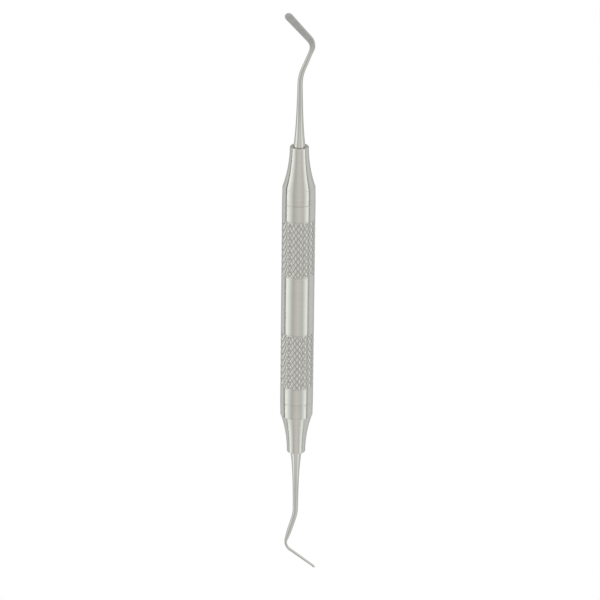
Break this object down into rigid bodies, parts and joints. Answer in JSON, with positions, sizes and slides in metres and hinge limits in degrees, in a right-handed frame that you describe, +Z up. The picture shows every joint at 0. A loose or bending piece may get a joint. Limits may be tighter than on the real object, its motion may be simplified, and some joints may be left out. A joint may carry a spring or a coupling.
{
  "type": "dental elevator",
  "caption": "Double-ended dental hand instrument: hollow round handle, a flared cone at each end, and thin double-bent working ends with narrow serrated blades.",
  "frame": {"origin": "on the handle's axis, at the middle of the handle's plain centre band, which is the middle of the handle", "axes": "+Y along the handle towards the end whose blade lies flat in the bend plane; both ends bend in the XY plane, that blade points to -X and +Y, the other blade to +X and -Y; +Z up, out of the bend plane, with the instrument lying as on a tray"},
  "size_m": [0.0109, 0.1729, 0.0096],
  "materials": {
    "handle_steel": "satin, turned and knurled",
    "cone_steel": "satin, turned",
    "blade_steel": "fine satin shank, matte blade",
    "braze": "dull, heat tinted"
  },
  "bodies": {
    "root": {"handle_tube": "handle_steel", "upper_cone": "cone_steel", "lower_cone": "cone_steel", "upper_braze_ring": "braze", "lower_braze_ring": "braze", "upper_working_end": "blade_steel", "lower_working_end": "blade_steel"}
  },
  "joints": []
}
